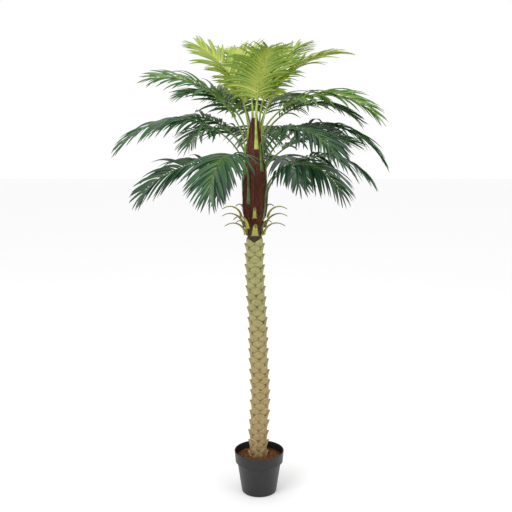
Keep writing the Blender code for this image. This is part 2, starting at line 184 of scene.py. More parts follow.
lip_foot = POT_HEIGHT - POT_LIP_HEIGHT
pot_outline = np.vstack([
    [(PIN_HOLE, POT_RECESS), (0.006, POT_RECESS), (0.007, 0.0010), (0.009, POT_RECESS)],
    [(0.054, POT_RECESS), (0.056, 0.0002)],
    arc((POT_FOOT - POT_FOOT_ROUND, POT_FOOT_ROUND), POT_FOOT_ROUND, 270.0, 358.0),
    [(POT_SHOULDER, lip_foot - 0.0065), (POT_SHOULDER + 0.0006, lip_foot - 0.0055)],
    arc((POT_LIP_FOOT - 0.0004, lip_foot + 0.0002), POT_BEAD, 300.0, 400.0),
    [(POT_LIP_FOOT + 0.0002, lip_foot + 0.0016), (POT_RIM - 0.0006, POT_HEIGHT - 0.006)],
    arc((POT_RIM - 0.0013, POT_HEIGHT - 0.0013), 0.0013, 0.0, 100.0),
    arc((POT_RIM - POT_WALL + 0.0005, POT_HEIGHT - 0.0006), 0.0005, 95.0, 180.0, 4),
    [(POT_LIP_FOOT - POT_WALL, lip_foot), (POT_SHOULDER - POT_WALL, lip_foot - 0.006),
     (POT_FOOT - POT_WALL, 0.008), (POT_FOOT - 0.008, 0.0030), (PIN_HOLE, 0.0030)],
])
around = outward(np.arange(POT_SIDES) * 360.0 / POT_SIDES)
pot_rings = pot_outline[:, None, :1] * around[None]
pot_rings = pot_rings + pot_outline[:, None, 1:] * np.array([0.0, 0.0, 1.0])
pot = add_piece("nursery_pot", *skin(pot_rings[None]), [pot_plastic], "black_plastic")
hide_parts("pot")


# Pot fill. Cement holds the trunk, under a layer of loose coconut fibre pulled from a bale: orange-brown
# threads lie over each other in every direction, with painted shade in the gaps between them (a bed of the
# darkest brown beneath) and a few pale crumbs of husk.
FILL_EDGE = 0.0925
FILL_EDGE_HEIGHT = 0.136
FILL_HEAP = 0.012
TRUNK_FOOT = 0.0305
FIBRES = 3200
FIBRE_STATIONS = 8
CRUMBS = 220
BED_SIDES = 120
rng = np.random.default_rng(7)


def heap_height(radius):
    """Height of the coir at a distance from the middle of the pot."""
    share = np.clip((FILL_EDGE - radius) / (FILL_EDGE - TRUNK_FOOT), 0.0, 1.0)
    return FILL_EDGE_HEIGHT + FILL_HEAP * share


def strands(paths, radii, corners=3):
    """Rings of thin round tubes along many paths: paths is tube x station x 3, radii is tube x station."""
    along = np.gradient(paths, axis=1)
    along /= np.linalg.norm(along, axis=2, keepdims=True)
    side = np.cross(along, np.array([0.31, 0.17, 0.93]))
    side /= np.linalg.norm(side, axis=2, keepdims=True)
    up = np.cross(along, side)
    turns = np.arange(corners) * 2.0 * np.pi / corners
    ring = side[:, :, None] * np.cos(turns)[:, None] + up[:, :, None] * np.sin(turns)[:, None]
    return paths[:, :, None] + ring * radii[:, :, None, None]


def curls(count, stations, wander):
    """Headings in degrees along many wandering paths, from a random start."""
    first = rng.uniform(0.0, 360.0, (count, 1))
    turn = rng.normal(0.0, wander, (count, 1)) + rng.normal(0.0, wander * 0.6, (count, stations))
    return first + np.cumsum(turn, axis=1)


# Coconut fibre: dry and matt, and each thread is a slightly different brown.
coir_browns = []
for number, (dark, light) in enumerate((("#4a2a12", "#8a5426"), ("#6b3c18", "#b0703a"),
                                        ("#2c180b", "#5a3516"), ("#9c7a4e", "#cdb084"))):
    coir, shader = new_material(f"coconut_fibre_{number}", {"Roughness": 0.85, "IOR": 1.45})
    place = add_node(coir, "ShaderNodeTexCoord")
    streaks = add_node(coir, "ShaderNodeTexNoise", {"Vector": place.outputs["Object"], "Scale": 1.0 / 0.006})
    shade = add_node(coir, "ShaderNodeValToRGB", {"Fac": streaks.outputs["Fac"]})
    colour_stops(shade, (0.3, dark), (0.7, light))
    feed(coir, shader, "Base Color", shade.outputs["Color"])
    coir_browns.append(coir)

bed_radii = np.linspace(FILL_EDGE + 0.001, TRUNK_FOOT - 0.004, 24)
bed_around = outward(np.arange(BED_SIDES) * 360.0 / BED_SIDES)
bed_rings = bed_radii[:, None, None] * bed_around
bed_bumps = rng.normal(0.0, 0.0016, bed_rings.shape[:2])
bed_rings[:, :, 2] = heap_height(bed_radii)[:, None] - 0.003 + bed_bumps
# The bed under the threads takes the darkest brown, as painted shade for the gaps between them.
bed = add_piece("coir_bed", *skin(bed_rings[None]), [coir_browns[2]], "coir")

start_radius = np.sqrt(rng.uniform(TRUNK_FOOT ** 2, FILL_EDGE ** 2, FIBRES))
start = outward(rng.uniform(0.0, 360.0, FIBRES)) * start_radius[:, None]
fibre_length = rng.uniform(0.018, 0.060, FIBRES)
fibre_ways = outward(curls(FIBRES, FIBRE_STATIONS, 16.0))
fibre_paths = start[:, None] + np.cumsum(fibre_ways, axis=1) * (fibre_length / FIBRE_STATIONS)[:, None, None]
fibre_radius = np.linalg.norm(fibre_paths[:, :, :2], axis=2)
allowed = np.clip(fibre_radius, TRUNK_FOOT + 0.004, FILL_EDGE - 0.0008) / fibre_radius
fibre_paths[:, :, :2] *= allowed[:, :, None]
arch = np.sin(np.linspace(0.0, np.pi, FIBRE_STATIONS)) * rng.uniform(0.0, 0.007, (FIBRES, 1))
fibre_radius = np.linalg.norm(fibre_paths[:, :, :2], axis=2)
fibre_bed = heap_height(fibre_radius) + rng.uniform(-0.003, 0.004, (FIBRES, 1))
fibre_paths[:, :, 2] = fibre_bed + arch
fibre_thick = rng.uniform(0.00025, 0.00060, (FIBRES, 1)) * np.ones(FIBRE_STATIONS)
points, faces = skin(strands(fibre_paths, fibre_thick))
tones = np.repeat(rng.choice(4, FIBRES, p=(0.4, 0.35, 0.19, 0.06)), 3 * (FIBRE_STATIONS - 1))
add_piece("coir_threads", points, faces, coir_browns, "coir", material_index=tones)

crumb_radius = np.sqrt(rng.uniform(TRUNK_FOOT ** 2, (FILL_EDGE - 0.004) ** 2, CRUMBS))
crumb_place = outward(rng.uniform(0.0, 360.0, CRUMBS)) * crumb_radius[:, None]
crumb_place[:, 2] = heap_height(crumb_radius) + 0.0015
crumb_way = outward(rng.uniform(0.0, 360.0, CRUMBS)) * rng.uniform(0.0008, 0.0022, (CRUMBS, 1))
crumb_paths = crumb_place[:, None] + crumb_way[:, None] * np.linspace(-1.0, 1.0, 5)[:, None]
crumb_thick = np.array([0.1, 0.8, 1.0, 0.7, 0.1]) * rng.uniform(0.0006, 0.0016, (CRUMBS, 1))
points, faces = skin(strands(crumb_paths, crumb_thick, 5))
add_piece("coir_crumbs", points, faces, [coir_browns[3]], "coir")
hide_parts("pot_fill")


# Trunk. A rigid pole dressed with moulded polyethylene leaf boots, four to a row. Each boot is a thin shield
# that springs outwards to a blunt point, over the feet of the next row but one, so that diamonds of it show.
SWAY_HEIGHTS = np.array([0.16, 0.22, 0.40, 0.62, 0.95, 1.60])
SWAY_OFFSETS = np.array([-0.004, -0.003, 0.004, -0.004, -0.018, -0.018])
TRUNK_TOP = 1.072
TRUNK_HEAD = 0.0280
BOOTS_START = 0.150
BOOTS_END = 1.038
BOOT_ROWS = 42
BOOTS_PER_ROW = 4
BOOT_PITCH = (BOOTS_END - BOOTS_START - 0.0035) / BOOT_ROWS
BOOT_STAND_OUT = 0.0112
BOOT_HALF_ANGLE = 50.0
BOOT_WALL = 0.0022
BOOT_COLUMNS = 9
BOOT_STATIONS = 12
BOOT_ROOT = 2.15  # rows that a boot reaches down from its tip
POLE_SIDES = 48


def sway(height):
    """How far the trunk's centre line is off to one side at each height."""
    span = np.clip(np.searchsorted(SWAY_HEIGHTS, height) - 1, 0, len(SWAY_HEIGHTS) - 2)
    low, high = SWAY_HEIGHTS[span], SWAY_HEIGHTS[span + 1]
    t = np.clip((height - low) / (high - low), 0.0, 1.0)
    return SWAY_OFFSETS[span] + (SWAY_OFFSETS[span + 1] - SWAY_OFFSETS[span]) * t * t * (3.0 - 2.0 * t)


def axis_point(height):
    """Points on the centre line of the trunk and the stem."""
    return np.stack([sway(height), np.zeros_like(height), height], axis=-1)


def trunk_core(height):
    """Radius of the trunk behind its boots."""
    climbed = (height - BOOTS_START) / (TRUNK_TOP - BOOTS_START)
    return TRUNK_FOOT + (TRUNK_HEAD - TRUNK_FOOT) * np.clip(climbed, 0.0, 1.0)


# Moulded polyethylene, sprayed by hand: khaki green near the crown and tan lower down, with painted shade
# that turns each boot brown towards its foot, down in the hollow behind the row above, and a little yellower
# along the edges that stand out.
boot_plastic, shader = new_material("sprayed_polyethylene", {"Roughness": 0.58, "IOR": 1.51})
place = add_node(boot_plastic, "ShaderNodeTexCoord")
parts = add_node(boot_plastic, "ShaderNodeSeparateXYZ", {"Vector": place.outputs["Object"]})
height = add_node(boot_plastic, "ShaderNodeMapRange", {"Value": parts.outputs["Z"], "From Min": 0.15,
                                                       "From Max": 1.07})
base = add_node(boot_plastic, "ShaderNodeValToRGB", {"Fac": height.outputs["Result"]})
colour_stops(base, (0.0, "#a58f63"), (0.45, "#a39563"), (0.75, "#9d9b62"), (1.0, "#a9a866"))
mottle = add_node(boot_plastic, "ShaderNodeTexNoise", {"Vector": place.outputs["Object"],
                                                       "Scale": 1.0 / 0.012, "Detail": 6.0,
                                                       "Roughness": 0.7})
patches = add_node(boot_plastic, "ShaderNodeValToRGB", {"Fac": mottle.outputs["Fac"]})
colour_stops(patches, (0.35, "#8a7a50"), (0.65, "#ffffff"))
mottled = add_node(boot_plastic, "ShaderNodeMix", {0: 0.5, MIX_A: base.outputs["Color"],
                                                   MIX_B: patches.outputs["Color"]},
                   data_type="RGBA", blend_type="MULTIPLY")
sheet = add_node(boot_plastic, "ShaderNodeUVMap", uv_map="UVMap")
sheet_parts = add_node(boot_plastic, "ShaderNodeSeparateXYZ", {"Vector": sheet.outputs["UV"]})
# Painted shade: dark brown towards each boot's foot, where it lies in the hollow behind the row above, and a
# yellow tint along the lip.
hollow_shade_and_lip_tint = add_node(boot_plastic, "ShaderNodeValToRGB", {"Fac": sheet_parts.outputs["Y"]})
colour_stops(hollow_shade_and_lip_tint, (0.0, "#3b2b18"), (0.2, "#6d5a36"), (0.42, "#ffffff"), (0.9, "#ffffff"), (1.0, "#e8d9ae"))
hollow_shaded = add_node(boot_plastic, "ShaderNodeMix", {0: 0.9, MIX_A: mottled.outputs[MIXED],
                                                   MIX_B: hollow_shade_and_lip_tint.outputs["Color"]},
                   data_type="RGBA", blend_type="MULTIPLY")
feed(boot_plastic, shader, "Base Color", hollow_shaded.outputs[MIXED])
long_grain = add_node(boot_plastic, "ShaderNodeMapping", {"Vector": sheet.outputs["UV"],
                                                          "Scale": (34.0, 3.0, 1.0)})
grain = add_node(boot_plastic, "ShaderNodeTexNoise", {"Vector": long_grain.outputs["Vector"], "Scale": 1.0,
                                                      "Detail": 5.0})
bump = add_node(boot_plastic, "ShaderNodeBump", {"Height": grain.outputs["Fac"], "Strength": 0.5,
                                                 "Distance": 0.0012})
feed(boot_plastic, shader, "Normal", bump.outputs["Normal"])

# The pole behind the boots, painted dark as painted shade so that the gaps between them read as deep.
pole_shade_paint, shader = new_material("pole_painted_shade", {"Roughness": 0.8})
place = add_node(pole_shade_paint, "ShaderNodeTexCoord")
stretched = add_node(pole_shade_paint, "ShaderNodeMapping", {"Vector": place.outputs["Object"],
                                                       "Scale": (1.0, 1.0, 0.15)})
grain = add_node(pole_shade_paint, "ShaderNodeTexNoise", {"Vector": stretched.outputs["Vector"],
                                                    "Scale": 1.0 / 0.003})
shade = add_node(pole_shade_paint, "ShaderNodeValToRGB", {"Fac": grain.outputs["Fac"]})
colour_stops(shade, (0.3, "#2a1d10"), (0.7, "#4f3c22"))
feed(pole_shade_paint, shader, "Base Color", shade.outputs["Color"])

row = np.repeat(np.arange(BOOT_ROWS), BOOTS_PER_ROW)
column = np.tile(np.arange(BOOTS_PER_ROW), BOOT_ROWS)
boots = len(row)
boot_azimuth = 270.0 + 90.0 * column + 45.0 * (row % 2) + rng.normal(0.0, 2.0, boots)
boot_tip = BOOTS_START + BOOT_PITCH * (row + 1) + rng.normal(0.0, 0.0010, boots)
boot_stand = BOOT_STAND_OUT * rng.uniform(0.88, 1.02, boots)
up_share = np.append(np.linspace(0.0, 1.0, BOOT_STATIONS - 1), 1.0)
across = np.linspace(-1.0, 1.0, BOOT_COLUMNS)
narrowing = 0.95 * np.clip(2.0 * up_share - 1.0, 0, 1) ** 1.35
shoulders = np.where(up_share < 0.5, 0.74 + 0.52 * up_share, 1.0 - narrowing)
wall = np.append(np.full(BOOT_STATIONS - 1, BOOT_WALL), 0.0)
boot_height = boot_tip[:, None] - BOOT_ROOT * BOOT_PITCH * (1.0 - up_share) + 0.0006 * (wall == 0.0)
swell = up_share[:, None] ** 1.3 * (1.0 - 0.38 * across ** 2)
front = trunk_core(boot_height)[:, :, None] + boot_stand[:, None, None] * swell + 0.0012 * (1.0 - across ** 2)
back = front - wall[:, None]
boot_angles = boot_azimuth[:, None, None] + BOOT_HALF_ANGLE * shoulders[:, None] * across
boot_radii = np.concatenate([front, back[:, :, ::-1]], axis=2)
boot_ways = outward(np.concatenate([boot_angles, boot_angles[:, :, ::-1]], axis=2))
boot_rings = axis_point(boot_height)[:, :, None] + boot_ways * boot_radii[..., None]
across_ring = np.concatenate([across, across[::-1]]) * 0.5 + 0.5
boots_piece = add_piece("trunk_boots", *skin(boot_rings), [boot_plastic], "trunk_bark",
                        uv=grid_uv(boots, across_ring, up_share))

pole_heights = np.append(np.linspace(0.0605, TRUNK_TOP, 120), TRUNK_TOP)
pole_radii = np.append(trunk_core(pole_heights[:-1]) - 0.0004, 0.002)
pole_around = outward(np.arange(POLE_SIDES) * 360.0 / POLE_SIDES)
pole_rings = axis_point(pole_heights)[:, None] + pole_around * pole_radii[:, None, None]
add_piece("trunk_pole", *skin(pole_rings[None]), [pole_shade_paint], "trunk_bark")
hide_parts("trunk")


# Crown stem. The petioles are bundled on a core and wrapped in mats of red-brown palm fibre, thin sheets of
# crossed threads that look woven. They are tied on wet, dry tight, and fray at their upper ends.
STEM_HEIGHTS = np.array([1.0723, 1.092, 1.120, 1.150, 1.240, 1.310, 1.370, 1.440, 1.490])
STEM_RADII = np.array([0.0270, 0.0310, 0.0425, 0.0455, 0.0445, 0.0370, 0.0300, 0.0200, 0.0110])
SLEEVE_SIDES = 96
MAT_THREADS = 2600
THREAD_STATIONS = 9


def stem_radius(height):
    """Radius of the fibre-wrapped stem at each height."""
    return np.interp(height, STEM_HEIGHTS, STEM_RADII)


# Palm fibre: a stiff dry thread, red-brown, with painted shade nearly black in the grooves of its streaks.
fibre_browns = []
for number, (dark, light) in enumerate((("#3a1a10", "#6e3622"), ("#5a2a1a", "#8a4a2c"),
                                        ("#1d0d08", "#41201a"), ("#7a4a2a", "#a8744a"))):
    palm_fibre, shader = new_material(f"palm_fibre_{number}", {"Roughness": 0.75, "IOR": 1.45})
    place = add_node(palm_fibre, "ShaderNodeTexCoord")
    stretched = add_node(palm_fibre, "ShaderNodeMapping", {"Vector": place.outputs["Object"],
                                                           "Scale": (1.0, 1.0, 0.12)})
    streaks = add_node(palm_fibre, "ShaderNodeTexNoise", {"Vector": stretched.outputs["Vector"],
                                                          "Scale": 1.0 / 0.0016, "Detail": 4.0})
    shade = add_node(palm_fibre, "ShaderNodeValToRGB", {"Fac": streaks.outputs["Fac"]})
    # The dark stop is painted shade: it falls where the same streaks bump the thread inwards.
    colour_stops(shade, (0.35, dark), (0.65, light))
    feed(palm_fibre, shader, "Base Color", shade.outputs["Color"])
    bump = add_node(palm_fibre, "ShaderNodeBump", {"Height": streaks.outputs["Fac"], "Strength": 0.6,
                                                   "Distance": 0.0008})
    feed(palm_fibre, shader, "Normal", bump.outputs["Normal"])
    fibre_browns.append(palm_fibre)

sleeve_heights = np.linspace(STEM_HEIGHTS[0], STEM_HEIGHTS[-1], 140)
sleeve_turns = np.arange(SLEEVE_SIDES) * 360.0 / SLEEVE_SIDES
sleeve_folds = (0.0016 * np.sin(np.radians(7 * sleeve_turns + 900.0 * sleeve_heights[:, None]))
                + 0.0010 * np.sin(np.radians(19 * sleeve_turns - 1400.0 * sleeve_heights[:, None] + 40.0))
                + rng.normal(0.0, 0.0003, (len(sleeve_heights), len(sleeve_turns))))
sleeve_radii = stem_radius(sleeve_heights)[:, None] - 0.0022 + sleeve_folds
sleeve_rings = axis_point(sleeve_heights)[:, None] + outward(sleeve_turns) * sleeve_radii[..., None]
sleeve = add_piece("fibre_sleeve", *skin(sleeve_rings[None]), [fibre_browns[0]], "palm_fibre", crease=60.0)

thread_low = rng.uniform(1.075, 1.40, (MAT_THREADS, 1))
thread_rise = rng.uniform(0.03, 0.13, (MAT_THREADS, 1))
thread_share = np.linspace(0.0, 1.0, THREAD_STATIONS)
thread_height = thread_low + thread_rise * thread_share
lean = rng.choice([-1.0, 1.0], (MAT_THREADS, 1)) * rng.uniform(2.0, 45.0, (MAT_THREADS, 1))
thread_turn = rng.uniform(0.0, 360.0, (MAT_THREADS, 1)) + lean * thread_share
thread_turn = thread_turn + np.cumsum(rng.normal(0.0, 1.2, thread_turn.shape), axis=1)
fray = rng.uniform(0.0, 1.0, (MAT_THREADS, 1)) ** 6 * 0.006 * thread_share ** 2
thread_radius = stem_radius(thread_height) + rng.uniform(-0.0012, 0.0008, (MAT_THREADS, 1)) + fray
thread_paths = axis_point(thread_height) + outward(thread_turn) * thread_radius[..., None]
thread_thick = rng.uniform(0.00022, 0.00060, (MAT_THREADS, 1)) * (1.0 - 0.6 * thread_share)
points, faces = skin(strands(thread_paths, thread_thick))
tones = np.repeat(rng.choice(4, MAT_THREADS, p=(0.42, 0.34, 0.16, 0.08)), 3 * (THREAD_STATIONS - 1))
add_piece("fibre_threads", points, faces, fibre_browns, "palm_fibre", material_index=tones)
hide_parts("crown_stem")


# Stubs. The remains of cut fronds, moulded in yellow-green polyethylene: channelled straps that climb beside
# the stem, arch over and end in a bent-down tip. Spiny teeth stand along both edges, stained brown.
StubRing = namedtuple("StubRing", "height radius first_azimuth count step length width")
STUB_RINGS = (
    StubRing(1.045, 0.0345, 272.0, 5, 72.0, 0.116, 0.034),
    StubRing(1.073, 0.0410, 18.0, 4, 72.0, 0.124, 0.022),
    StubRing(1.114, 0.0515, 270.0, 5, 72.0, 0.104, 0.020),
)
STUB_STATIONS = 26
STUB_CLIMB = (82.0, -40.0)
STUB_DEPTH = (0.008, 0.002)
STUB_TIP_WIDTH = 0.003
TEETH = 12
UP = np.array([0.0, 0.0, 1.0])

# Polyethylene with a soft waxy gloss, yellow-green with brown stains on the edges, the teeth and the tips.
stub_plastic, shader = new_material("waxy_polyethylene", {"Roughness": 0.45, "IOR": 1.51})
place = add_node(stub_plastic, "ShaderNodeTexCoord")
blotch = add_node(stub_plastic, "ShaderNodeTexNoise", {"Vector": place.outputs["Object"], "Scale": 1.0 / 0.02,
                                                       "Detail": 5.0})
shade = add_node(stub_plastic, "ShaderNodeValToRGB", {"Fac": blotch.outputs["Fac"]})
colour_stops(shade, (0.3, "#8f8a34"), (0.5, "#b0ac4e"), (0.7, "#a3a95a"))
sheet = add_node(stub_plastic, "ShaderNodeUVMap", uv_map="UVMap")
sheet_parts = add_node(stub_plastic, "ShaderNodeSeparateXYZ", {"Vector": sheet.outputs["UV"]})
edge_stain = add_node(stub_plastic, "ShaderNodeValToRGB", {"Fac": sheet_parts.outputs["X"]})
colour_stops(edge_stain, (0.0, "#6a5330"), (0.14, "#ffffff"), (0.86, "#ffffff"), (1.0, "#6a5330"))
edged = add_node(stub_plastic, "ShaderNodeMix", {0: 0.8, MIX_A: shade.outputs["Color"],
                                                 MIX_B: edge_stain.outputs["Color"]},
                 data_type="RGBA", blend_type="MULTIPLY")
tip_stain = add_node(stub_plastic, "ShaderNodeValToRGB", {"Fac": sheet_parts.outputs["Y"]})
colour_stops(tip_stain, (0.0, "#d8dca0"), (0.3, "#ffffff"), (0.75, "#ffffff"), (1.0, "#8a7444"))
tipped = add_node(stub_plastic, "ShaderNodeMix", {0: 1.0, MIX_A: edged.outputs[MIXED],
                                                  MIX_B: tip_stain.outputs["Color"]},
                  data_type="RGBA", blend_type="MULTIPLY")
feed(stub_plastic, shader, "Base Color", tipped.outputs[MIXED])
long_grain = add_node(stub_plastic, "ShaderNodeMapping", {"Vector": sheet.outputs["UV"],
                                                          "Scale": (22.0, 4.0, 1.0)})
grain = add_node(stub_plastic, "ShaderNodeTexNoise", {"Vector": long_grain.outputs["Vector"], "Scale": 1.0,
                                                      "Detail": 4.0})
bump = add_node(stub_plastic, "ShaderNodeBump", {"Height": grain.outputs["Fac"], "Strength": 0.4,
                                                 "Distance": 0.001})
feed(stub_plastic, shader, "Normal", bump.outputs["Normal"])

channel_across = np.array([-1.0, -0.6, 0.0, 0.6, 1.0, 0.6, 0.0, -0.6])
channel_depth = np.array([0.5, 0.08, -0.06, 0.08, 0.5, -0.32, -0.5, -0.32])
stub_rings, tooth_paths = [], []
for ring in STUB_RINGS:
    for azimuth in ring.first_azimuth + ring.step * np.arange(ring.count):
        t = np.linspace(0.0, 1.0, STUB_STATIONS)
        climb = np.radians(STUB_CLIMB[0] + (STUB_CLIMB[1] - STUB_CLIMB[0]) * t)
        along = outward(azimuth) * np.cos(climb)[:, None] + UP * np.sin(climb)[:, None]
        side = outward(azimuth + 90.0)
        up = np.cross(along, side)
        strides = along[:-1] * ring.length / (STUB_STATIONS - 1)
        line = axis_point(np.array(ring.height)) + outward(azimuth) * ring.radius
        line = line + np.vstack([np.zeros(3), np.cumsum(strides, axis=0)])
        wide = (ring.width + (STUB_TIP_WIDTH - ring.width) * t ** 0.6) / 2.0
        deep = STUB_DEPTH[0] + (STUB_DEPTH[1] - STUB_DEPTH[0]) * t
        wave = 1.0 + 0.06 * np.sin(40.0 * t + azimuth)
        stub_rings.append(line[:, None] + side * (channel_across * (wide * wave)[:, None])[..., None]
                          - up[:, None] * (channel_depth * deep[:, None])[..., None])
        for hand in (-1.0, 1.0):
            for station in np.linspace(3, STUB_STATIONS - 3, TEETH).astype(int):
                root = line[station] + side * hand * wide[station] * 0.92 - up[station] * deep[station] * 0.42
                spike = side * hand * 0.8 - up[station] * 0.5 + along[station] * rng.uniform(-0.2, 0.8)
                tooth_paths.append(root + np.outer([0.0, 0.5, 1.0], spike * rng.uniform(0.0022, 0.0042)))
stub_rings = np.array(stub_rings)
stubs = add_piece("frond_stubs", *skin(stub_rings), [stub_plastic], "stub_green",
                  uv=grid_uv(len(stub_rings), channel_across * 0.5 + 0.5, t))
tooth_thick = np.array([0.0010, 0.0006, 0.00005]) * np.ones((len(tooth_paths), 1))
teeth_rings = strands(np.array(tooth_paths), tooth_thick, 4)
tooth_uv = np.tile([0.03, 0.6], (teeth_rings.size // 3, 1))
add_piece("stub_teeth", *skin(teeth_rings), [stub_plastic], "stub_green", uv=tooth_uv)
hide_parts(*[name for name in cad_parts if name.startswith("stub_")])


# Fronds. Each is a plastic-covered wire rib with leaflets of printed polyester, cut with a hot knife, folded
# along the middle and welded to the rib in pairs. Young fronds at the top are lime, and the oldest are dark.
Tier = namedtuple("Tier", "leaflet bend")
TIERS = {
    "lower": Tier(0.200, 0.8),
    "middle": Tier(0.190, 0.8),
    "upper": Tier(0.185, 0.9),
    "top": Tier(0.185, 1.0),
}
Frond = namedtuple("Frond", "tier height azimuth rise bow length roll sag")
FRONDS = (
    Frond("lower", 1.288, 178, 32, 80, 0.43, -40, 0.45),
    Frond("lower", 1.266, 240, 82, 164, 0.37, 0, 0.60),
    Frond("lower", 1.250, 118, 78, 160, 0.39, 0, 0.60),
    Frond("lower", 1.204, 326, 84, 142, 0.40, 12, 0.90),
    Frond("lower", 1.210, 9, 75, 120, 0.48, 15, 0.95),
    Frond("lower", 1.235, 62, 74, 136, 0.45, 0, 0.70),
    Frond("middle", 1.314, 187, 78, 122, 0.55, -15, 0.60),
    Frond("middle", 1.350, 158, 74, 104, 0.44, -15, 0.50),
    Frond("middle", 1.390, 312, 46, 92, 0.42, 0, 0.70),
    Frond("middle", 1.315, 8, 76, 130, 0.56, 15, 0.60),
    Frond("middle", 1.300, 350, 64, 84, 0.36, 10, 0.35),
    Frond("middle", 1.335, 40, 72, 122, 0.50, 0, 0.60),
    Frond("middle", 1.325, 88, 72, 122, 0.52, 0, 0.60),
    Frond("middle", 1.325, 130, 72, 112, 0.46, -10, 0.55),
    Frond("upper", 1.362, 192, 88, 94, 0.48, -28, 0.45),
    Frond("upper", 1.428, 346, 66, 106, 0.49, 22, 0.45),
    Frond("upper", 1.405, 22, 66, 100, 0.46, 15, 0.45),
    Frond("upper", 1.395, 68, 76, 98, 0.47, 0, 0.45),
    Frond("upper", 1.405, 108, 76, 98, 0.47, 0, 0.45),
    Frond("upper", 1.400, 142, 80, 94, 0.42, -15, 0.40),
    Frond("top", 1.438, 160, 88, 60, 0.40, -24, 0.35),
    Frond("top", 1.455, 106, 88, 66, 0.41, -20, 0.30),
    Frond("top", 1.473, 284, 88, 72, 0.33, 0, 0.45),
    Frond("top", 1.452, 40, 88, 60, 0.39, 6, 0.35),
    Frond("top", 1.434, 10, 86, 82, 0.46, 15, 0.35),
    Frond("top", 1.466, 74, 86, 66, 0.40, 0, 0.30),
)
SAG_LEFT_AT_TIP = 0.45
BARE_SHARE = 0.27
RIB_GAP = 0.0003  # how far a rib stands off the stem
RIB_WIDTH = (0.0080, 0.0028)
RIB_DEPTH = (0.0085, 0.0030)
RIB_STATIONS = 44
RIB_SIDES = 10
LEAFLET_PAIRS = 25
LONGEST_AT = 0.33
END_LEAFLETS = (0.62, 0.38)  # of the longest, at the blade's foot and at its end
SHORTENING = 1.4
LEAFLET_SPREAD = (66.0, 26.0)
LEAFLET_LIFT = 14.0
LEAFLET_WIDTH = 0.0150
LEAFLET_THICKNESS = 0.0006
LEAFLET_STATIONS = 12
LEAFLET_FOLD = 22.0  # degrees that each half is folded up from flat
OWN_SHADE_SHARE = 0.75
SHEATH_DROP = 0.10  # how far a petiole runs down the stem below where it leaves it
SHEATH_LIFT = 0.0012  # how far its lower end stands off the stem's surface


def between(pair, share):
    """The value a share of the way from the first to the second of a pair."""
    return pair[0] + (pair[1] - pair[0]) * share


def unit(vectors):
    """Vectors at length one."""
    return vectors / np.linalg.norm(vectors, axis=-1, keepdims=True)


def rib_frame(frond, shares):
    """Points, directions, sides and ups along a frond's rib at shares of its length."""
    fine = np.linspace(0.0, 1.0, 501)
    climb = np.radians(frond.rise - frond.bow * fine ** TIERS[frond.tier].bend)
    ways = outward(frond.azimuth) * np.cos(climb)[:, None] + UP * np.sin(climb)[:, None]
    strides = (ways[1:] + ways[:-1]) / 2.0 * frond.length / (len(fine) - 1)
    height = np.array(frond.height)
    start = axis_point(height) + outward(frond.azimuth) * (stem_radius(height) + RIB_DEPTH[0] / 2.0 + RIB_GAP)
    line = start + np.vstack([np.zeros(3), np.cumsum(strides, axis=0)])
    points = np.stack([np.interp(shares, fine, line[:, k]) for k in range(3)], axis=1)
    along = unit(np.stack([np.interp(shares, fine, ways[:, k]) for k in range(3)], axis=1))
    level = outward(frond.azimuth + 90.0)
    roll = np.radians(frond.roll * shares)[:, None]
    side = level * np.cos(roll) + np.cross(along, level) * np.sin(roll)
    return points, along, side, np.cross(along, side)


def leaflet_length(frond, t):
    """Leaflets are longest a third of the way up the blade and shortest at its end."""
    rising = between((END_LEAFLETS[0], 1.0), np.sin(np.clip(t / LONGEST_AT, 0.0, 1.0) * np.pi / 2.0))
    fallen = np.clip((t - LONGEST_AT) / (1.0 - LONGEST_AT), 0.0, 1.0) ** SHORTENING
    falling = between((1.0, END_LEAFLETS[1]), fallen)
    return TIERS[frond.tier].leaflet * np.where(t < LONGEST_AT, rising, falling)


def leaflet_rings(root, along, across, up, sag, length, half_width, twist):
    """Rings of many leaflets: two edges folded up from a midrib, with a thin back, drooping to a point."""
    s = np.linspace(0.0, 1.0, LEAFLET_STATIONS)
    ways = unit(along[:, None] - UP * (sag[:, None] * 2.0 * s)[..., None])
    strides = (ways[:, 1:] + ways[:, :-1]) / 2.0 * (length / (LEAFLET_STATIONS - 1))[:, None, None]
    line = root[:, None] + np.concatenate([np.zeros_like(strides[:, :1]), np.cumsum(strides, axis=1)], axis=1)
    side = unit(across[:, None] - ways * np.sum(across[:, None] * ways, axis=2, keepdims=True))
    face = np.cross(ways, side)
    face = face * np.sign(np.sum(face * up[:, None], axis=2, keepdims=True))
    turn = (twist[:, None] * s)[..., None]
    side, face = side * np.cos(turn) + face * np.sin(turn), face * np.cos(turn) - side * np.sin(turn)
    outline = np.clip(s ** 0.35 * (1.0 - s) ** 0.75 / 0.50, 0.02, 1.0)
    outline[0] = 0.30
    wide = (half_width[:, None] * outline)[..., None]
    fold = np.tan(np.radians(LEAFLET_FOLD))
    edges = [line + side * wide * hand + face * wide * fold for hand in (-1.0, 1.0)]
    back = line - face * LEAFLET_THICKNESS
    return np.stack([edges[0], line, edges[1], back], axis=2)


